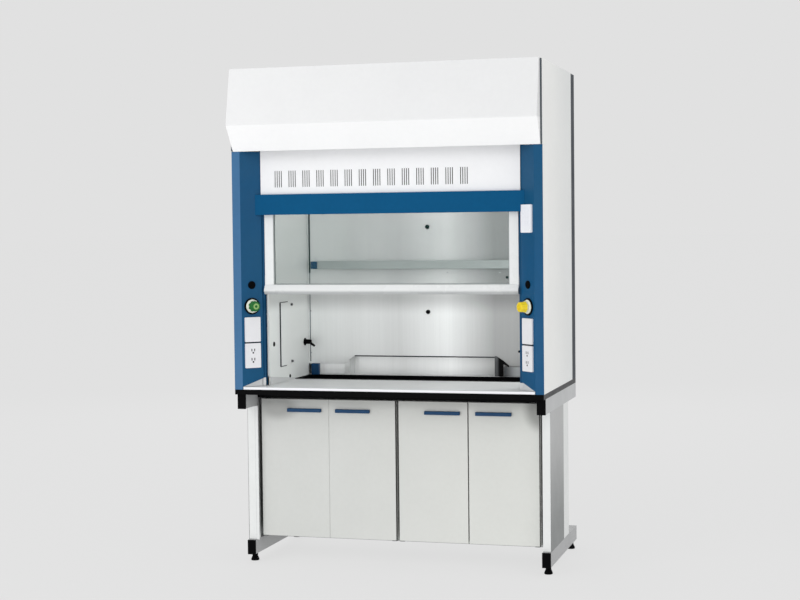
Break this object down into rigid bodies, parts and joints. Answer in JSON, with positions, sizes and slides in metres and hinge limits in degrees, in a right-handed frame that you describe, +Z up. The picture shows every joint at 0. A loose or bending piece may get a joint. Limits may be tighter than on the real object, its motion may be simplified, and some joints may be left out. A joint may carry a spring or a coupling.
{
  "type": "fume hood",
  "caption": "Free-standing ducted fume hood with a counterbalanced glazed sash, service posts, rear baffle and suspended cabinets on a cantilever steel frame.",
  "frame": {"origin": "centre of the bounding box, on the floor under the levelling feet", "axes": "+Z up, -Y towards the operator at the working front, +X to the operator's right"},
  "size_m": [1.5, 0.95, 2.38],
  "materials": {
    "frame_grey": "light grey powder coat, satin",
    "frame_white": "pale grey powder coat, satin",
    "black_plastic": "moulded black, matt",
    "panel_grey": "mid grey powder coat, satin",
    "black_edge": "black solid core edge, semi-matt",
    "worktop_laminate": "light grey solid laminate, fine speckle",
    "black_basin": "black polypropylene, satin",
    "cabinet_board": "coated board, pale grey, satin",
    "zinc_steel": "zinc plated",
    "door_board": "coated board, pale grey-white, satin",
    "blue_plastic": "blue moulded, semi-gloss",
    "blue_steel": "blue powder coat, satin",
    "header_blue": "blue powder coat, satin",
    "white_steel": "white powder coat, satin",
    "side_white": "white powder coat, satin",
    "rear_grey": "dark grey powder coat, satin",
    "zinc_sheet": "galvanised sheet",
    "collar_plastic": "grey polypropylene",
    "liner_laminate": "pale grey solid laminate, satin",
    "lamp_lens": "white diffuser and housing",
    "stainless": "satin stainless steel, vertical grain",
    "rail_glass": "grey satin rail",
    "dark_screw": "blackened steel",
    "valve_ring": "cream collar with black base ring",
    "green_plastic": "green moulded hand knob",
    "yellow_plastic": "yellow moulded hand knob",
    "white_plastic": "white moulded service plate",
    "controller_shell": "pale moulded shell with a pale membrane",
    "sash_white": "white frame profile, semi-gloss",
    "safety_glass": "clear safety glass with a faint green tint",
    "guide_aluminium": "channel coated blue like the posts",
    "nylon": "natural nylon",
    "iron_weight": "painted cast weight",
    "bright_shaft": "ground steel",
    "pulley_aluminium": "turned aluminium",
    "belt_rubber": "black toothed belt",
    "bracket_steel": "dark grey steel"
  },
  "bodies": {
    "hood": {"side_beams": "frame_grey", "frame_legs": "frame_white", "cross_rails": "frame_grey", "beam_end_caps": "black_plastic", "levelling_feet": "black_plastic", "leg_side_panels": "panel_grey", "base_band": "black_edge", "worktop": "worktop_laminate", "drain_trough": "black_basin", "left_cabinet": "cabinet_board", "right_cabinet": "cabinet_board", "cabinet_shelves": "cabinet_board", "hinge_brackets": "zinc_steel", "hinge_pins": "zinc_steel", "left_post": "blue_steel", "right_post": "blue_steel", "header_bar": "header_blue", "bypass_panel": "white_steel", "fascia": "white_steel", "side_panels": "side_white", "rear_corner_strips": "rear_grey", "rear_panel": "zinc_sheet", "roof_panel": "zinc_sheet", "exhaust_collar": "collar_plastic", "side_liners": "liner_laminate", "chamber_ceiling": "liner_laminate", "lamp_unit": "lamp_lens", "rear_baffle": "stainless", "baffle_rail": "rail_glass", "baffle_blocks": "blue_plastic", "baffle_knobs": "black_plastic", "water_outlet": "black_plastic", "gas_nozzle": "black_plastic", "inspection_cover": "liner_laminate", "cover_screws": "dark_screw", "valve_bases": "valve_ring", "service_plates": "white_plastic", "controller": "controller_shell", "hole_plugs": "black_plastic", "sash_guides": "guide_aluminium", "timing_belts": "belt_rubber", "pulley_brackets": "bracket_steel"},
    "sash": {"sash_frame": "sash_white", "sash_glass": "safety_glass", "sash_glides": "nylon", "sash_arms": "zinc_steel"},
    "counterweights": {"counterweights": "iron_weight"},
    "sync_shaft": {"sync_shaft": "bright_shaft", "top_pulleys": "pulley_aluminium"},
    "lower_pulleys": {"lower_pulleys": "pulley_aluminium"},
    "left_outer_door": {"door_1": "door_board", "handle_1": "blue_plastic"},
    "left_inner_door": {"door_2": "door_board", "handle_2": "blue_plastic"},
    "right_inner_door": {"door_3": "door_board", "handle_3": "blue_plastic"},
    "right_outer_door": {"door_4": "door_board", "handle_4": "blue_plastic"},
    "water_knob": {"water_knob": "green_plastic"},
    "gas_knob": {"gas_knob": "yellow_plastic"}
  },
  "joints": [
    {"name": "sash_slide", "type": "slide", "parent": "hood", "child": "sash", "axis": [0, 0, 1], "range_m": [-0.433, 0.192]},
    {"name": "counterweight_slide", "type": "slide", "parent": "hood", "child": "counterweights", "axis": [0, 0, 1], "range_m": [-0.2, 0.44]},
    {"name": "top_shaft_spin", "type": "hinge", "parent": "hood", "child": "sync_shaft", "pos_m": [0, -0.23, 2.26], "axis": [1, 0, 0], "range_deg": [-280, 615]},
    {"name": "lower_pulley_spin", "type": "hinge", "parent": "hood", "child": "lower_pulleys", "pos_m": [0, -0.23, 1.18], "axis": [1, 0, 0], "range_deg": [-280, 615]},
    {"name": "left_outer_door_swing", "type": "hinge", "parent": "hood", "child": "left_outer_door", "pos_m": [-0.68, -0.184, 0.46], "axis": [0, 0, -1], "range_deg": [0, 90]},
    {"name": "left_inner_door_swing", "type": "hinge", "parent": "hood", "child": "left_inner_door", "pos_m": [-0.015, -0.184, 0.46], "axis": [0, 0, 1], "range_deg": [0, 83]},
    {"name": "right_inner_door_swing", "type": "hinge", "parent": "hood", "child": "right_inner_door", "pos_m": [0.015, -0.184, 0.46], "axis": [0, 0, -1], "range_deg": [0, 83]},
    {"name": "right_outer_door_swing", "type": "hinge", "parent": "hood", "child": "right_outer_door", "pos_m": [0.683, -0.184, 0.46], "axis": [0, 0, 1], "range_deg": [0, 90]},
    {"name": "water_valve_turn", "type": "hinge", "parent": "hood", "child": "water_knob", "pos_m": [-0.67182, -0.34582, 1.256], "axis": [0.7071, -0.7071, 0], "range_deg": [0, 360]},
    {"name": "gas_valve_turn", "type": "hinge", "parent": "hood", "child": "gas_knob", "pos_m": [0.67182, -0.34582, 1.256], "axis": [-0.7071, -0.7071, 0], "range_deg": [0, 90]}
  ],
  "couplings": [
    {"joint": "counterweight_slide", "follows": "sash_slide", "ratio": -1},
    {"joint": "top_shaft_spin", "follows": "sash_slide", "rad_per_m": -24.213},
    {"joint": "lower_pulley_spin", "follows": "sash_slide", "rad_per_m": -24.213}
  ]
}
